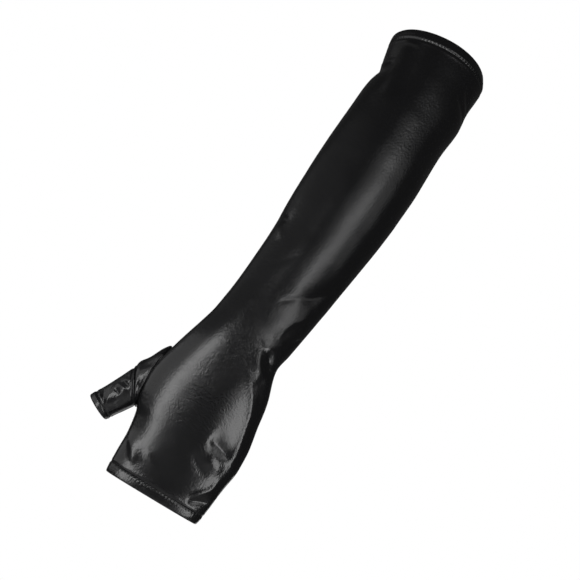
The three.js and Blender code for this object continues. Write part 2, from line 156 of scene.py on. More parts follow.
# Folds of the sleeve, in mm: points (x, z) as seen from the back, the height, below 0 for a crease, and
# the breadth to the left and right of somebody who walks along the points.
FOLD = "points height left right"
SLEEVE_FOLDS = table(FOLD, [
    # The arm opening: the notch at the thumb side and the fold that drops from it.
    ([(-60, -32), (-46, -33), (-34, -34), (-20, -34)], -5.2, 15, 13),
    ([(-48, -26), (-38, -28), (-27, -30)], 0.9, 2.2, 2.2),
    ([(-44, -32), (-36, -32.5), (-28, -32)], -0.8, 1.4, 1.4),
    ([(-29, -13), (-22, -13.5), (-15, -13)], 0.5, 1.8, 1.8),
    ([(-13, -8), (-12.5, -34), (-12, -66)], -1.3, 6, 7),
    ([(-24, -10), (-23, -36), (-22, -62)], 1.2, 4.5, 3.5),
    # Two short creases that meet at the little finger side.
    ([(29, -17), (35, -23), (44, -31)], -1.4, 2.2, 2.2),
    ([(24, -26), (33, -31), (44, -38)], -1.4, 2.2, 2.2),
    # The dent on the thumb side and the faint fold that leaves it.
    ([(-38, -178), (-32, -181), (-25, -184)], -1.2, 2.6, 3),
    ([(-33, -189), (-28, -193), (-25, -200)], 0.5, 3, 3),
    ([(-24, -225), (-14, -213), (-3, -199)], -0.22, 3.5, 2.5),
    # Three pleats that rise over the wrist to the little finger side.
    ([(-2, -242), (5, -235), (13, -228)], -0.45, 1.8, 2),
    ([(9, -233), (18, -225), (27, -213), (34, -199)], -1.9, 5.5, 7),
    ([(13, -266), (15, -252), (20, -243), (28, -234)], 0.9, 8, 2.5),
    ([(17, -268), (23, -260), (29, -249)], -1.2, 2, 3),
    # The hollow where the hand bends back from the wrist, with a sharp crease on its lower side.
    ([(3, -268), (10, -272), (18, -275.5), (26, -279)], 0.6, 4, 2.4),
    ([(7, -273), (9, -280), (13.5, -288), (21, -294)], 1.0, 1.8, 4.5),
    ([(12, -272), (18, -280), (26, -289)], -2.6, 6, 4.2),
    ([(15, -295), (20, -299), (25, -304), (31, -316)], -0.9, 4, 4),
    # The edge where the side of the hand turns under the little finger.
    ([(2, -291), (12, -298), (21, -308), (27, -321), (31, -337), (34, -352), (34.5, -368)], 1.1, 9, 3),
    # Slack over the knuckles of the last two fingers.
    ([(10, -347.5), (21, -349.5), (33, -352)], -2.0, 6.5, 4),
    ([(16, -360), (25, -361.5), (32, -362)], 0.7, 6, 4),
    ([(5, -361), (14, -367), (26, -371)], -0.6, 4, 4),
    # The corner of the finger hem.
    ([(33.5, -364), (32, -375), (27, -382), (20, -390)], 0.9, 2.2, 2.2),
    ([(21, -392), (28, -388), (37, -383)], -1.5, 2.8, 2.2),
    # A fold that runs into the finger hem on the thumb side, the low hollow above it, and its faint end.
    ([(-39, -372), (-32, -381), (-24, -391)], 1.0, 4.5, 2.4),
    ([(-38, -288), (-40, -316), (-38, -344)], -0.5, 14, 14),
    ([(-24, -377), (-16, -382), (-8, -385)], 0.3, 2.4, 2.4),
])

# The thumb's sections. along is a share of the stretch's length, width of its width, depth of its depth
# and side of THUMB_BASE_WIDTH. skew is in degrees.
THUMB_SECTION = "of along width depth side skew"
mouth = Stretch(0, THUMB_LENGTH, THUMB_MOUTH_WIDTH, THUMB_MOUTH_DEPTH)
base = Stretch(0, THUMB_LENGTH, THUMB_BASE_WIDTH, THUMB_BASE_DEPTH)
gusset_base = Stretch(THUMB_LENGTH, THUMB_GUSSET_LENGTH, THUMB_BASE_WIDTH, THUMB_BASE_DEPTH)
hole = Stretch(THUMB_LENGTH, THUMB_GUSSET_LENGTH, THUMB_HOLE_HEIGHT, THUMB_HOLE_DEPTH)
STALL_SECTIONS = table(THUMB_SECTION, [
    (mouth, 0.0, 1.0, 1.0, -0.02, 0),
    (mouth, 0.33, 1.045, 1.03, -0.054, 10),
    (base, 0.66, 1.02, 0.93, -0.077, 22),
    (base, 1.0, 1.183, 1.0, -0.0875, THUMB_SEAM_SKEW_DEG),
])
GUSSET_SECTIONS = table(THUMB_SECTION, [
    (gusset_base, 0.0, 1.27, 1.02, -0.08, THUMB_SEAM_SKEW_DEG),
    (gusset_base, 0.5, 1.54, 1.06, -0.0917, 49),
    (hole, 1.0, 1.0, 1.04, -0.108, 61),
    (hole, 1.3, 0.99, 1.0, -0.25, 62),
    (hole, 2.0, 0.93, 0.9, -0.7, 62),
])

# Folds of the thumb, in mm: their points lie out from the middle of its back and up from its mouth.
STALL_FOLDS = table(FOLD, [
    ([(-6, 6), (-2, 8.5), (2, 11.4), (6, 15.4), (10, 19)], 0.75, 1.3, 4),
    ([(10, 19), (5.5, 21.2), (1, 24.5), (-2, 27)], 0.65, 1.2, 3.2),
    ([(9, 24), (6.5, 26), (4, 29.5)], 0.5, 1.2, 3),
    ([(13, 11.5), (4, 8), (-5, 5)], -0.6, 1.2, 1.4),
    ([(8, 2), (6, 5), (5, 9)], 0.4, 1.2, 2.6),
    ([(6, 17), (3, 18.5), (-1, 20)], -0.8, 1.3, 1.3),
    ([(8, 23.5), (4, 26), (0, 28.5)], -0.7, 1, 1.2),
    ([(-9, 14), (-5, 18), (-4, 22)], -0.4, 2, 2.4),
])
GUSSET_FOLDS = table(FOLD, [
    ([(7, 34), (5, 39), (2, 46)], 0.6, 1.5, 3.5),
    ([(12, 36), (10, 42), (8, 50)], 0.4, 1.2, 2.5),
])

# Swells and grooves beside the thumb's two seams, in mm: how far from the seam, the height, the breadth.
RIB = "away height breadth"
STALL_RIBS = table(RIB, [(0.5, 0.4, 0.6), (1.9, -0.5, 0.7)])
GUSSET_RIBS = table(RIB, [(2.5, 0.5, 2), (0, -1.3, 0.9)])
HOLE_RIBS = table(RIB, [(1.6, 0.45, 0.9), (0, -0.5, 0.7)])

# The gentle unevenness of each cloth, in mm.
SLEEVE_SLACK = table("size height", [(26, 0.25), (9, 0.06)])
GUSSET_SLACK = table("size height", [(8, 0.08)])
STALL_SLACK = table("size height", [(7, 0.08)])

# The rings of facets of each tube, closer where it has folds or a seam. Those of the gusset and the stall
# are shares of the piece's length.
RING = "start end apart"
SLEEVE_RINGS = table(RING, [
    (SLEEVE_START, SLEEVE_START + 3 * MM, 0.6 * MM),
    (SLEEVE_START + 3 * MM, 45 * MM, 1.3 * MM),
    (45 * MM, 175 * MM, 2.4 * MM),
    (175 * MM, 212 * MM, 1.8 * MM),
    (212 * MM, 300 * MM, 1.15 * MM),
    (300 * MM, SLEEVE_END - 24 * MM, 1.5 * MM),
    (SLEEVE_END - 24 * MM, SLEEVE_END - 3 * MM, 1.0 * MM),
    (SLEEVE_END - 3 * MM, SLEEVE_END, 0.6 * MM),
])
GUSSET_RINGS = table(RING, [(0, 0.12, 0.015), (0.12, 0.85, 0.03), (0.85, 1, 0.012)])
STALL_RINGS = table(RING, [(0, 0.06, 0.012), (0.06, 0.88, 0.0165), (0.88, 1, 0.01)])
HOLLOW_RINGS = table(RING, [
    (THUMB_LENGTH - 12 * MM, THUMB_LENGTH + 2 * THUMB_GUSSET_LENGTH, 2 * MM),
])


class Curve:
    """A smooth curve through places and values, with each slope taken from the neighbours."""

    def __init__(self, places, values):
        self.places, self.values = np.array(places), np.array(values)
        order = np.arange(len(places))
        before, after = np.maximum(order - 1, 0), np.minimum(order + 1, len(places) - 1)
        rise = self.values[after] - self.values[before]
        self.slopes = rise / (self.places[after] - self.places[before])

    def __call__(self, where):
        i = np.clip(np.searchsorted(self.places, where), 1, len(self.places) - 1)
        start, span = self.places[i - 1], self.places[i] - self.places[i - 1]
        t = np.clip((where - start) / span, 0, 1)
        pull = self.slopes[i - 1] * t * (1 - t) ** 2 + self.slopes[i] * t * t * (t - 1)
        low, high = self.values[i - 1], self.values[i]
        return low + (high - low) * (3 - 2 * t) * t * t + span * pull


class Tube:
    """A tube through a table of sections. Each column is a curve along it."""

    def __init__(self, rows):
        self.rows = rows
        self.half = self.curve(lambda row: row.width * row.of.width / 2)

    def curve(self, value):
        places = [row.of.start + row.along * row.of.length for row in self.rows]
        return Curve(places, [value(row) for row in self.rows])

    def point(self, along, angle):
        """Across and depth of a point of the oval, before any tilt."""
        c, s = np.cos(angle), np.sin(angle)
        power = 2 / self.square(along)
        deep = np.where(s > 0, self.back(along), self.palm(along))
        across = self.half(along) * np.sign(c) * np.abs(c) ** power
        return np.stack([across, -deep * np.sign(s) * np.abs(s) ** power], -1)

    def lifted(self, along, angle, lift):
        """The same, moved square to the oval by lift."""
        line = self.point(along, angle + TANGENT_STEP) - self.point(along, angle - TANGENT_STEP)
        line /= np.linalg.norm(line, axis=-1, keepdims=True)
        out = np.stack([-line[..., 1], line[..., 0]], -1)
        p = self.point(along, angle)
        out *= np.where((out * p).sum(-1, keepdims=True) < 0, -1, 1)
        return p + out * np.asarray(lift)[..., None]

    def round_at(self, along, angle):
        """The distance round the tube from the middle of its back, more towards angle 0."""
        turns = np.linspace(-pi / 2, 3 * pi / 2, 361)
        ring = self.point(np.full_like(turns, along), turns)
        length = np.concatenate([[0], np.cumsum(np.linalg.norm(np.diff(ring, axis=0), axis=1))])
        middle = np.interp(pi / 2, turns, length)
        wrapped = (np.asarray(angle) + pi / 2) % (2 * pi) - pi / 2
        return middle - np.interp(wrapped, turns, length)

    def girth(self, along):
        """The whole way round the tube."""
        start, end = self.round_at(along, np.array([-pi / 2, 3 * pi / 2 - 1e-6]))
        return start - end


class SleeveTube(Tube):
    """The sleeve, whose back and palm differ."""

    def __init__(self, rows):
        super().__init__(rows)
        self.side = self.curve(lambda row: row.side * row.of.width)
        self.back = self.curve(lambda row: row.back * row.of.depth)
        self.palm = self.curve(lambda row: row.palm * row.of.depth)
        self.square = self.curve(lambda row: row.square)


class ThumbTube(Tube):
    """A piece of the thumb, oval and skewed."""

    def __init__(self, rows):
        super().__init__(rows)
        self.side = self.curve(lambda row: row.side * THUMB_BASE_WIDTH)
        self.back = self.palm = self.curve(lambda row: row.depth * row.of.depth / 2)
        self.square = self.curve(lambda row: 2.0)
        self.skew = self.curve(lambda row: radians(row.skew))


sleeve_form = SleeveTube(SLEEVE_SECTIONS)
stall_form = ThumbTube(STALL_SECTIONS)
gusset_form = ThumbTube(GUSSET_SECTIONS)


def bend_at(down):
    """How far towards the palm the middle of the hand lies, and its slope, at a distance down the arm."""
    turned = np.clip((down - BEND_START) / HAND_BEND_REACH, 0, 1)
    beyond = np.maximum(down - BEND_START - HAND_BEND_REACH, 0)
    return tan(HAND_BEND) * (HAND_BEND_REACH * turned**2 / 2 + beyond), HAND_BEND * turned


def tilt_at(down):
    """The pitch and lean of a section."""
    near_arm = np.maximum(1 - down / ARM_EDGE_REACH, 0)
    near_fingers = np.maximum(1 - (SLEEVE_LENGTH - down) / FINGER_EDGE_REACH, 0)
    pitch = bend_at(down)[1] + ARM_EDGE_PITCH * near_arm
    return pitch, ARM_EDGE_LEAN * near_arm + FINGER_EDGE_LEAN * near_fingers


def sleeve_place(down, angle, lift):
    """A point of the sleeve in the part's frame."""
    p = sleeve_form.lifted(down, angle, lift)
    pitch, lean = tilt_at(down)
    return np.stack([
        sleeve_form.side(down) + p[..., 0] * np.cos(lean),
        bend_at(down)[0] + p[..., 1] * np.cos(pitch),
        -down + p[..., 0] * np.sin(lean) + p[..., 1] * np.sin(pitch),
    ], -1)


def seen_from_back(x, z):
    """The place (round, down) on the sleeve of a point seen from the back. Past the outline it goes on
    round the side."""
    down = -z
    for _ in range(3):
        pitch, lean = tilt_at(down)
        across = (x - sleeve_form.side(down)) / np.cos(lean)
        share = np.clip(across / sleeve_form.half(down), -1, 1)
        c = np.sign(share) * np.abs(share) ** (sleeve_form.square(down) / 2)
        angle = np.arccos(c)
        p = sleeve_form.point(down, angle)
        down = -z + p[0] * np.sin(lean) + p[1] * np.sin(pitch)
    past = across - share * sleeve_form.half(down)
    return float(sleeve_form.round_at(down, angle) + past), float(down)


# The thumb's own directions: towards its mouth, away from the hand, and across both.
thumb_along = Vector((
    -sin(THUMB_SPREAD) * cos(THUMB_DROP),
    sin(THUMB_DROP),
    -cos(THUMB_SPREAD) * cos(THUMB_DROP),
))
thumb_out = Vector((-cos(THUMB_SPREAD), 0, sin(THUMB_SPREAD)))
thumb_deep = thumb_along.cross(thumb_out)


def thumb_mouth():
    """The middle of the thumb's mouth, found from the hole in the side of the hand."""
    down = SLEEVE_LENGTH - THUMB_HOLE_UP
    x = float(sleeve_form.side(down) - sleeve_form.half(down)) + THUMB_HOLE_INSET
    middle = Vector((x, float(bend_at(down)[0]) + THUMB_TOWARDS_PALM, -down))
    up = THUMB_LENGTH + THUMB_GUSSET_LENGTH
    return middle + thumb_along * up - thumb_out * float(gusset_form.side(up))


THUMB_MOUTH = thumb_mouth()


def thumb_place(form, up, angle, lift):
    """A point of the thumb in the part's frame."""
    p = form.lifted(up, angle, lift)
    skew = form.skew(up)
    along = (-up - p[..., 0] * np.sin(skew))[..., None] * np.array(thumb_along)
    out = (form.side(up) + p[..., 0] * np.cos(skew))[..., None] * np.array(thumb_out)
    return np.array(THUMB_MOUTH) + along + out + p[..., 1:] * np.array(thumb_deep)


def smooth_path(points, steps=6):
    """A rounded line through a few points."""
    p = np.array([points[0], *points, points[-1]], float)
    t = np.linspace(0, 1, steps, endpoint=False)[:, None]
    parts = []
    for a, b, c, d in zip(p, p[1:], p[2:], p[3:]):
        bend = (2 * a - 5 * b + 4 * c - d) * t**2 / 2
        turn = (3 * b - a - 3 * c + d) * t**3 / 2
        parts.append(b + (c - a) * t / 2 + bend + turn)
    return np.vstack([*parts, p[-1:]])


def fold_lift(spots, path, height, left, right):
    """How far one fold moves the cloth outwards at each spot (round, down)."""
    lift = np.zeros(len(spots))
    reach = 3 * max(left, right)
    near = ((spots > path.min(0) - reach) & (spots < path.max(0) + reach)).all(1)
    if not near.any():
        return lift
    spot = spots[near][:, None]
    start, step = path[:-1], np.diff(path, axis=0)
    length = np.linalg.norm(step, axis=1)
    t = np.clip(((spot - start) * step).sum(-1) / length**2, 0, 1)
    off = spot - start - t[..., None] * step
    distance = np.linalg.norm(off, axis=-1)
    nearest = distance.argmin(1)
    rows = np.arange(len(nearest))
    off, distance, t = off[rows, nearest], distance[rows, nearest], t[rows, nearest]
    way = step[nearest]
    is_right = way[:, 0] * off[:, 1] - way[:, 1] * off[:, 0] > 0
    walked = (np.cumsum(length)[nearest] - length[nearest] * (1 - t)) / length.sum()
    ends = (1 - np.abs(2 * walked - 1) ** 3) ** 2
    is_sharp = height < 0 or max(left, right) > ONE_SIDED_FROM * min(left, right)
    sharpness = CREASE_SHARPNESS if is_sharp else 2
    lift[near] = height * ends * np.exp(-((distance / np.where(is_right, right, left)) ** sharpness))
    return lift


def fold_paths(rows, place):
    """A table of folds in metres, with each one's points as a rounded line of places (round, along)."""
    made = []
    for fold in rows:
        path = smooth_path([place(a * MM, b * MM) for a, b in fold.points])
        made.append((path, fold.height * MM, fold.left * MM, fold.right * MM))
    return made


def all_folds(folds, spots):
    """How far all the folds of a table move the cloth at each spot."""
    return sum((fold_lift(spots, *fold) for fold in folds), np.zeros(len(spots)))


def sleeve_spots(down, angle):
    """Round and down for points that lie in rings."""
    spots = np.zeros((len(down), 2))
    spots[:, 1] = down
    for at in np.unique(down):
        ring = down == at
        spots[ring, 0] = sleeve_form.round_at(at, angle[ring])
    return spots


def slack(spots, rows):
    """How far the cloth's gentle unevenness moves it at each spot."""
    lift = np.zeros(len(spots))
    for row in rows:
        size = row.size * MM
        lift += np.array([noise.noise((r / size, d / size, 0)) for r, d in spots]) * row.height * MM
    return lift


def swell(distance, height, breadth):
    """A rounded swell of the cloth along a line, or a groove where the height is below 0."""
    return height * np.exp(-((distance / breadth) ** 2))


def ribs(from_seam, rows):
    """The swells and grooves beside a seam."""
    return sum(swell(from_seam - row.away * MM, row.height * MM, row.breadth * MM) for row in rows)


def hem_groove(distance, depth, breadth):
    """The groove of the cloth along a row of stitches, with a low swell on both sides."""
    beside = np.abs(distance) - SWELL_AWAY * breadth
    return swell(beside, SWELL_HEIGHT * depth, breadth) + swell(distance, -depth, breadth)


sleeve_folds = fold_paths(SLEEVE_FOLDS, seen_from_back)
stall_folds = fold_paths(STALL_FOLDS, lambda across, up: (across, up))
gusset_folds = fold_paths(GUSSET_FOLDS, lambda across, up: (across, up))


def sleeve_lift(down, angle):
    """All that stands out from the plain form of the sleeve."""
    spots = sleeve_spots(down, angle)
    lift = all_folds(sleeve_folds, spots) + slack(spots, SLEEVE_SLACK)
    return lift + hem_groove(down - SLEEVE_START, *ARM_GROOVE) + hem_groove(SLEEVE_END - down, *FINGER_GROOVE)


def spun_tube(profile, sides, closed=False):
    """A tube round Z, spun from one line of points (inward, along). Its radius is 1 less inward."""
    bm = bmesh.new()
    line = [bm.verts.new((1 - inward, 0, -along)) for inward, along in profile]
    pairs = list(zip(line, line[1:])) + ([(line[-1], line[0])] if closed else [])
    edges = [bm.edges.new(pair) for pair in pairs]
    bmesh.ops.spin(
        bm, geom=line + edges, cent=(0, 0, 0), axis=(0, 0, 1), angle=2 * pi, steps=sides, use_merge=True
    )
    bmesh.ops.remove_doubles(bm, verts=bm.verts, dist=MERGE_DISTANCE)
    bmesh.ops.recalc_face_normals(bm, faces=bm.faces)
    if not closed:
        face = next(iter(bm.faces))
        if face.normal.xy.dot(face.calc_center_median().xy) < 0:
            bmesh.ops.reverse_faces(bm, faces=bm.faces)
    return bm


def wrap_cloth(bm, place, spots_of):
    """Lays a spun tube on its form, and gives it a flat pattern in metres as its UV map."""
    bm.verts.index_update()
    co = np.array([v.co for v in bm.verts])
    angle = -np.arctan2(co[:, 1], co[:, 0])
    angle += BACK_FINER * np.cos(angle)
    inward = 1 - np.hypot(co[:, 0], co[:, 1])
    along = -co[:, 2]
    spots = spots_of(along, angle).tolist()
    on_palm_line = ((np.abs(co[:, 0]) < NEAR_PALM_LINE) & (co[:, 1] > 0)).tolist()
    uv = bm.loops.layers.uv.new("cloth")
    for face in bm.faces:
        side = 1 if face.calc_center_median().x > 0 else -1
        for loop in face.loops:
            i = loop.vert.index
            across, down = spots[i]
            loop[uv].uv = (side * abs(across) if on_palm_line[i] else across, down)
    for v, p in zip(bm.verts, place(along, angle, inward).tolist()):
        v.co = p
    return bm


def to_object(bm, name):
    """A smooth object of that mesh."""
    mesh = bpy.data.meshes.new(name)
    for face in bm.faces:
        face.smooth = True
    bm.to_mesh(mesh)
    bm.free()
    obj = bpy.data.objects.new(name, mesh)
    bpy.context.scene.collection.objects.link(obj)
    return obj


def settle(obj):
    """Makes the modifiers of an object part of its mesh."""
    evaluated = obj.evaluated_get(bpy.context.evaluated_depsgraph_get())
    mesh = bpy.data.meshes.new_from_object(evaluated)
    obj.modifiers.clear()
    old, obj.data = obj.data, mesh
    bpy.data.meshes.remove(old)
    mesh.name = obj.name
    return obj


def give_wall(obj, thickness):
    """Thickens a cloth inwards."""
    wall = obj.modifiers.new("wall", "SOLIDIFY")
    wall.thickness = thickness
    wall.offset = -1
    return obj


def ring_stops(rows):
    """The places of rings along a tube."""
    stops = []
    for row in rows:
        count = max(round((row.end - row.start) / row.apart), 1)
        stops += [row.start + (row.end - row.start) * i / count for i in range(count)]
    return stops + [rows[-1].end]


def sleeve_surface(down, angle, inward=0):
    """A point of the sleeve's cloth with its folds."""
    return sleeve_place(down, angle, sleeve_lift(down, angle) - inward)


def make_sleeve():
    """The tube of cloth from the arm hem to the finger hem, one layer thick as yet."""
    bm = spun_tube([(0, stop) for stop in ring_stops(SLEEVE_RINGS)], SLEEVE_SIDES)
    return wrap_cloth(bm, sleeve_surface, sleeve_spots)


def hem_profile(length, thick, apart=0.5 * MM, inner=1.6 * MM, round_steps=8):
    """A turned hem's section as points (inward, distance from the rim): out, round the rim and back."""
    radius = thick / 2
    steps = round((length - radius) / apart)
    outer = [(0, length - (length - radius) * i / steps) for i in range(steps)]
    turn = [pi * i / round_steps for i in range(round_steps + 1)]
    rim = [(radius - radius * cos(a), radius - radius * sin(a)) for a in turn]
    steps = round((length - radius) / inner)
    back = [(thick, radius + (length - radius) * (i + 1) / steps) for i in range(steps)]
    return outer + rim + back


def hem_puff(from_rim, length, height):
    """The swell of a hem between its rim and its stitches."""
    return height * np.sin(pi * np.clip(from_rim / length, 0, 1))


def pucker(distance, spots):
    """The little swellings of cloth between one stitch and the next."""
    return np.cos(2 * pi * spots[:, 0] / STITCH_PITCH) * swell(distance, PUCKER_HEIGHT, PUCKER_BREADTH)


def make_sleeve_hem(name, length, puff, sides, at_arm):
    """The turned hem of the arm opening or the finger opening."""
    to_down = (lambda d: d) if at_arm else (lambda d: SLEEVE_LENGTH - d)
    profile = [(inward, to_down(d)) for inward, d in hem_profile(length, HEM_THICK)]
    bm = spun_tube(profile, sides, closed=True)

    def lay(down, angle, inward):
        from_rim = to_down(down)
        spots = sleeve_spots(down, angle)
        lift = sleeve_lift(down, angle) + hem_puff(from_rim, length, puff)
        lift += pucker(from_rim - length, spots) * (inward < HEM_THICK / 2)
        return sleeve_place(down, angle, lift - inward)

    return to_object(wrap_cloth(bm, lay, sleeve_spots), name)


def thumb_entries(tree):
    """A function of the angle round the thumb: how far up its cloth meets the sleeve."""

    def inside(ups):
        below = thumb_place(stall_form, ups, THUMB_TURNS, np.zeros_like(ups))
        above = thumb_place(gusset_form, ups, THUMB_TURNS, np.zeros_like(ups))
        found = []
        for point in np.where((ups < THUMB_LENGTH)[:, None], below, above).tolist():
            spot, normal, _, _ = tree.find_nearest(point)
            found.append((Vector(point) - spot).dot(normal) < 0)
        return np.array(found)

    ups = np.full_like(THUMB_TURNS, THUMB_HEM)
    for _ in range(round((THUMB_LENGTH + 2 * THUMB_GUSSET_LENGTH) / ENTRY_STEP)):
        ups += ENTRY_STEP * ~inside(ups)
    low, high = ups - ENTRY_STEP, ups
    for _ in range(ENTRY_HALVINGS):
        middle = (low + high) / 2
        within = inside(middle)
        low, high = np.where(within, low, middle), np.where(within, middle, high)
    return lambda angle: np.interp(angle % (2 * pi), [*THUMB_TURNS, 2 * pi], [*high, high[0]])


def thumb_spots(up, angle):
    """Round, more towards the thumb's outer side, and up for points of the thumb."""
    turn = (pi / 2 - angle + pi) % (2 * pi) - pi
    return np.stack([turn * THUMB_BASE_WIDTH / 2, up], -1)


def gusset_tops(angle, entries):
    """How far up the gusset's cloth reaches."""
    return np.maximum(entries(angle), THUMB_LENGTH + LEAST_GUSSET) + SEAM_TUCK


def stall_tops(angle, entries):
    """How far up the stall's cloth reaches."""
    return np.minimum(entries(angle) + SEAM_TUCK, THUMB_LENGTH + SEAM_OVERLAP)


def make_gusset(entries):
    """The piece of cloth between the stall and the sleeve, from its seam to where it enters the sleeve."""
    bm = spun_tube([(0, share) for share in ring_stops(GUSSET_RINGS)], THUMB_SIDES)

    def up_of(share, angle):
        return THUMB_LENGTH + share * (gusset_tops(angle, entries) - THUMB_LENGTH)

    def lay(share, angle, inward):
        up = up_of(share, angle)
        spots = thumb_spots(up, angle)
        lift = all_folds(gusset_folds, spots) + slack(spots, GUSSET_SLACK)
        to_sleeve = np.maximum(entries(angle), THUMB_LENGTH) - up
        lift += ribs(to_sleeve, HOLE_RIBS) + ribs(up - THUMB_LENGTH, GUSSET_RIBS)
        return thumb_place(gusset_form, up, angle, lift - inward)

    wrap_cloth(bm, lay, lambda share, angle: thumb_spots(up_of(share, angle), angle))
    return to_object(bm, "thumb_gusset_cloth")


def stall_lift(up, angle):
    """Folds, slack and seams of the stall."""
    spots = thumb_spots(up, angle)
    lift = all_folds(stall_folds, spots) + slack(spots, STALL_SLACK)
    lift += ribs(THUMB_LENGTH - up, STALL_RIBS)
    return lift + hem_groove(up - THUMB_HEM, *THUMB_GROOVE)


def stall_surface(up, angle, inward=0):
    """A point of the stall's cloth with its folds."""
    return thumb_place(stall_form, up, angle, stall_lift(up, angle) - inward)


def make_stall(entries):
    """The short tube round the thumb, from its hem to the seam at its base."""
    bm = spun_tube([(0, share) for share in ring_stops(STALL_RINGS)], THUMB_SIDES)

    def up_of(share, angle):
        return THUMB_HEM + share * (stall_tops(angle, entries) - THUMB_HEM)

    def lay(share, angle, inward):
        return stall_surface(up_of(share, angle), angle, inward)

    wrap_cloth(bm, lay, lambda share, angle: thumb_spots(up_of(share, angle), angle))
    return to_object(bm, "thumb_stall_cloth")


def make_thumb_hem():
    """The turned hem round the thumb's mouth."""
    bm = spun_tube(hem_profile(THUMB_HEM, HEM_THICK, apart=0.45 * MM), THUMB_SIDES, closed=True)

    def lay(up, angle, inward):
        lift = stall_lift(up, angle) + hem_puff(up, THUMB_HEM, THUMB_PUFF)
        return thumb_place(stall_form, up, angle, lift - inward)

    return to_object(wrap_cloth(bm, lay, thumb_spots), "thumb_hem_cloth")


def make_stitches(name, surface, form, along, turn_step=0.01, along_step=0.3 * MM):
    """A row of thread stitches round a tube, each a small long bead half sunk in the cloth. The steps are
    those by which the directions of the cloth are found."""
    turns = np.linspace(-pi / 2, 3 * pi / 2, 721)[1:-1]
    rounds = form.round_at(along, turns)
    girth = rounds[0] - rounds[-1]
    count = round(girth / STITCH_PITCH)
    middles = rounds[-1] + (np.arange(count) + 0.5) / count * girth
    angles = np.interp(-middles, -rounds, turns)
    here = np.full(count, along)
    spots = surface(here, angles)
    ahead = surface(here, angles + turn_step) - surface(here, angles - turn_step)
    upward = surface(here + along_step, angles) - surface(here - along_step, angles)
    bm = bmesh.new()
    for spot, way, side in zip(spots, ahead, upward):
        x = Vector(way).normalized()
        n = x.cross(Vector(side)).normalized()
        turn = Matrix((x, n.cross(x), n)).transposed().to_4x4()
        size = Matrix.Diagonal((STITCH_LENGTH / 2, STITCH_THICK / 2, STITCH_THICK / 2, 1))
        at = Matrix.Translation(Vector(spot))
        bmesh.ops.create_uvsphere(bm, u_segments=6, v_segments=5, radius=1, matrix=at @ turn @ size)
    return to_object(bm, name)


def thumb_hollow():
    """All that the thumb's cloth holds where it goes through the sleeve, for cutting the hole."""
    bm = spun_tube([(0, stop) for stop in ring_stops(HOLLOW_RINGS)], THUMB_SIDES // 2)

    def lay(up, angle, inward):
        below = thumb_place(stall_form, up, angle, np.full(len(up), -CLOTH))
        above = thumb_place(gusset_form, up, angle, np.full(len(up), -CLOTH))
        return np.where((up < THUMB_LENGTH)[:, None], below, above)

    wrap_cloth(bm, lay, thumb_spots)
    bmesh.ops.holes_fill(bm, edges=bm.edges, sides=0)
    bmesh.ops.recalc_face_normals(bm, faces=bm.faces)
    return to_object(bm, "thumb_hollow")


def cut_thumb_hole(sleeve):
    """Cuts the thumb's hole into the side of the sleeve."""
    hollow = thumb_hollow()
    cut = sleeve.modifiers.new("thumb_hole", "BOOLEAN")
    cut.object = hollow
    cut.operation = "DIFFERENCE"
    cut.solver = "EXACT"
    settle(sleeve)
    bpy.data.objects.remove(hollow)


# Cloth pieces.
outer = make_sleeve()
entries = thumb_entries(BVHTree.FromBMesh(outer))
sleeve = give_wall(to_object(outer, "sleeve_cloth"), CLOTH)
cut_thumb_hole(sleeve)
gusset = settle(give_wall(make_gusset(entries), CLOTH))
stall = settle(give_wall(make_stall(entries), CLOTH))
arm_hem = make_sleeve_hem("arm_hem_cloth", ARM_HEM, ARM_PUFF, ARM_HEM_SIDES, at_arm=True)
finger_hem = make_sleeve_hem("finger_hem_cloth", FINGER_HEM, FINGER_PUFF, FINGER_HEM_SIDES, at_arm=False)
thumb_hem = make_thumb_hem()


def new_material(name):
    """A material with its nodes and links."""
    material = bpy.data.materials.new(name)
    material.use_nodes = True
    return material, material.node_tree.nodes, material.node_tree.links


def coated_cloth():
    """Black stretch knit with a smooth wet-look coating: soft gloss over a fine grain that is longer down
    the arm than across."""
    material, nodes, links = new_material("coated_stretch_cloth")
    shader = nodes["Principled BSDF"]
    shader.inputs["Base Color"].default_value = (0.006, 0.006, 0.0065, 1)
    shader.inputs["Roughness"].default_value = 0.2
    shader.inputs["Specular IOR Level"].default_value = 0.5
    uv = nodes.new("ShaderNodeUVMap")
    uv.uv_map = "cloth"
    grain_space = nodes.new("ShaderNodeMapping")
    grain_space.inputs["Scale"].default_value = (900, 480, 1)
    grain = nodes.new("ShaderNodeTexNoise")
    grain.inputs["Scale"].default_value = 1
    grain.inputs["Detail"].default_value = 1
    grain.inputs["Roughness"].default_value = 0.6
    bump = nodes.new("ShaderNodeBump")
    bump.inputs["Strength"].default_value = 1
    bump.inputs["Distance"].default_value = 0.12 * MM
    links.new(uv.outputs["UV"], grain_space.inputs["Vector"])
    links.new(grain_space.outputs["Vector"], grain.inputs["Vector"])
    links.new(grain.outputs["Fac"], bump.inputs["Height"])
    links.new(bump.outputs["Normal"], shader.inputs["Normal"])
    return material


def thread_material():
    """Black sewing thread."""
    material, nodes, links = new_material("black_thread")
    shader = nodes["Principled BSDF"]
    shader.inputs["Base Color"].default_value = (0.02, 0.02, 0.021, 1)
    shader.inputs["Roughness"].default_value = 0.6
    return material


# Thread and materials.
cloth = coated_cloth()
thread = thread_material()
arm_stitches = make_stitches("arm_hem_stitches", sleeve_surface, sleeve_form, SLEEVE_START)
finger_stitches = make_stitches("finger_hem_stitches", sleeve_surface, sleeve_form, SLEEVE_END)
thumb_stitches = make_stitches("thumb_hem_stitches", stall_surface, stall_form, THUMB_HEM)

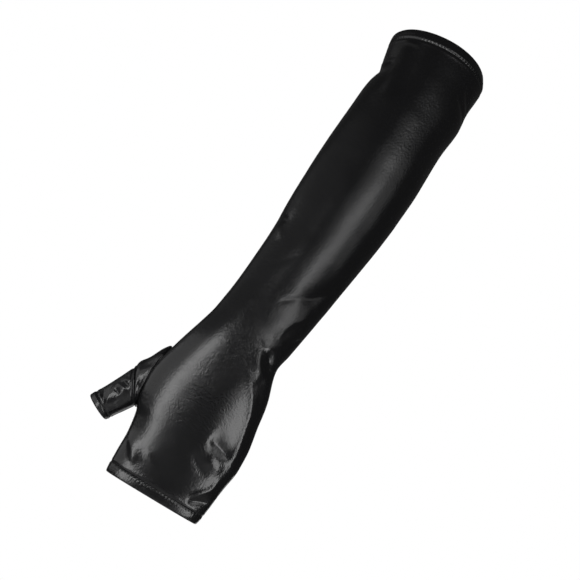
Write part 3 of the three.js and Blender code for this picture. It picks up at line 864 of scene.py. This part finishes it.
# Each piece's object, material, slot and the solids that it replaces.
PIECES = [
    (sleeve, cloth, "coated_cloth", ["sleeve"]),
    (gusset, cloth, "coated_cloth", ["thumb_gusset"]),
    (stall, cloth, "coated_cloth", ["thumb_stall"]),
    (arm_hem, cloth, "coated_cloth", ["arm_hem"]),
    (finger_hem, cloth, "coated_cloth", ["finger_hem"]),
    (thumb_hem, cloth, "coated_cloth", ["thumb_hem"]),
    (arm_stitches, thread, "sewing_thread", []),
    (finger_stitches, thread, "sewing_thread", []),
    (thumb_stitches, thread, "sewing_thread", []),
]
for obj, material, slot, nodes in PIECES:
    obj.data.materials.clear()
    obj.data.materials.append(material)
    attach(obj, BODY)
    if nodes:
        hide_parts(*nodes)


def cut_of(form, start, tops, stops=21):
    """The flat size and area of the knit for a tube, from start to the tops round it."""
    tall = np.asarray(tops) - start
    places = np.linspace(start, start + tall.max(), stops)
    widths = CUT_SHARE * np.array([form.girth(place) for place in places])
    return {"flat": (widths.max(), tall.max()), "area": widths.mean() * tall.mean()}


sleeve_cut = cut_of(sleeve_form, 0, [SLEEVE_LENGTH])
stall_cut = cut_of(stall_form, 0, stall_tops(THUMB_TURNS, entries))
gusset_cut = cut_of(gusset_form, THUMB_LENGTH, gusset_tops(THUMB_TURNS, entries))

# Stage: a pale floor, a pale surround, studio lights and the camera.
FLOOR_DROP, FLOOR_REACH = 0.8, 3
FLOOR_COLOR = (0.86, 0.86, 0.86, 1)
WHITE = (1, 1, 1, 1)
SURROUND_LIGHT = 0.05
CAMERA_PLACE = Vector((0.0015, -1.234, -0.6221))
CAMERA_RISE, CAMERA_ROLL = radians(18), radians(33)
CAMERA_LENS = 109.8
FOREARM_POINT = Vector((0, 0, -0.15))
WRIST_POINT = Vector((0, 0, -0.26))
HAND_POINT = Vector((0, 0, -0.33))

# The softboxes. Each faces a point. turn is to the right of its front, rise is upwards and roll brings its
# top to the left, in degrees. Then come how far away it is, its size in metres and its power in watts.
LIGHTS = table("name point turn rise roll away width height power", [
    ("right_softbox", FOREARM_POINT, 24, 10, 0, 1.4, 0.49, 0.4, 0.95),
    ("right_halo", FOREARM_POINT, 29, 15, 0, 1.5, 1.7, 0.42, 1.45),
    ("wrist_softbox", WRIST_POINT, 14, 5, 0, 1.4, 0.3, 0.24, 0.75),
    ("left_softbox", HAND_POINT, -25, -14, -25, 1.2, 0.34, 0.94, 5.2),
    ("low_softbox", HAND_POINT, 34, -16, 36, 1.4, 0.5, 0.86, 6.2),
    ("side_softbox", HAND_POINT, -68, -4, -12, 1.4, 2.2, 0.85, 5.2),
    ("left_fill", FOREARM_POINT, -70, 16, -5, 1.4, 4, 0.44, 0.8),
    ("back_right_softbox", HAND_POINT, 145, -10, 0, 1.6, 0.4, 0.9, 1.8),
    ("back_left_softbox", HAND_POINT, -162, -8, 0, 1.6, 0.6, 0.9, 1.2),
])


def white_to_camera(nodes, links, lit, seen, output):
    """Shows plain white to the camera and something else to the rest of the scene."""
    path = nodes.new("ShaderNodeLightPath")
    mix = nodes.new("ShaderNodeMixShader")
    links.new(path.outputs["Is Camera Ray"], mix.inputs["Fac"])
    links.new(lit, mix.inputs[1])
    links.new(seen, mix.inputs[2])
    links.new(mix.outputs["Shader"], output)


def make_floor():
    """A pale floor well below the mitten, plain to look at."""
    bm = bmesh.new()
    bmesh.ops.create_grid(bm, x_segments=8, y_segments=8, size=FLOOR_REACH)
    bmesh.ops.translate(bm, verts=bm.verts, vec=(0, 0, cad_low.z - FLOOR_DROP))
    floor = to_object(bm, "floor")
    material, nodes, links = new_material("pale_floor")
    lit = nodes["Principled BSDF"]
    lit.inputs["Base Color"].default_value = FLOOR_COLOR
    lit.inputs["Roughness"].default_value = 0.7
    seen = nodes.new("ShaderNodeEmission")
    seen.inputs["Color"].default_value = FLOOR_COLOR
    output = nodes["Material Output"].inputs["Surface"]
    white_to_camera(nodes, links, lit.outputs["BSDF"], seen.outputs["Emission"], output)
    floor.data.materials.append(material)


def make_softbox(row):
    """One softbox of the table."""
    data = bpy.data.lights.new(row.name, "AREA")
    data.shape = "RECTANGLE"
    data.size, data.size_y = row.width, row.height
    data.energy = row.power
    light = bpy.data.objects.new(row.name, data)
    turn, rise = radians(row.turn), radians(row.rise)
    way = Vector((sin(turn) * cos(rise), -cos(turn) * cos(rise), sin(rise)))
    light.location = row.point + row.away * way
    light.rotation_mode = "QUATERNION"
    light.rotation_quaternion = (-way).to_track_quat("-Z", "Y") @ Quaternion((0, 0, 1), radians(row.roll))
    bpy.context.scene.collection.objects.link(light)


def make_camera():
    """A long lens that looks up at the back of the hand, rolled so that the arm rises to the right."""
    data = bpy.data.cameras.new("camera")
    data.lens = CAMERA_LENS
    camera = bpy.data.objects.new("camera", data)
    bpy.context.scene.collection.objects.link(camera)
    view = Vector((0, cos(CAMERA_RISE), sin(CAMERA_RISE)))
    right = Vector((1, 0, 0))
    right.rotate(Matrix.Rotation(-CAMERA_ROLL, 3, view))
    up = right.cross(view)
    turned = Matrix((right, up, -view)).transposed().to_4x4()
    camera.matrix_world = Matrix.Translation(CAMERA_PLACE) @ turned
    bpy.context.scene.camera = camera


def make_surround():
    """A world that is white to look at and lights the cloth only faintly."""
    world = bpy.data.worlds.new("surround")
    world.use_nodes = True
    bpy.context.scene.world = world
    nodes, links = world.node_tree.nodes, world.node_tree.links
    seen = nodes["Background"]
    seen.inputs["Color"].default_value = WHITE
    lit = nodes.new("ShaderNodeBackground")
    lit.inputs["Color"].default_value = WHITE
    lit.inputs["Strength"].default_value = SURROUND_LIGHT
    output = nodes["World Output"].inputs["Surface"]
    white_to_camera(nodes, links, lit.outputs["Background"], seen.outputs["Background"], output)


make_floor()
make_surround()
for light_row in LIGHTS:
    make_softbox(light_row)
make_camera()
bpy.context.scene.view_settings.view_transform = "Standard"
bpy.context.scene.view_settings.look = "None"
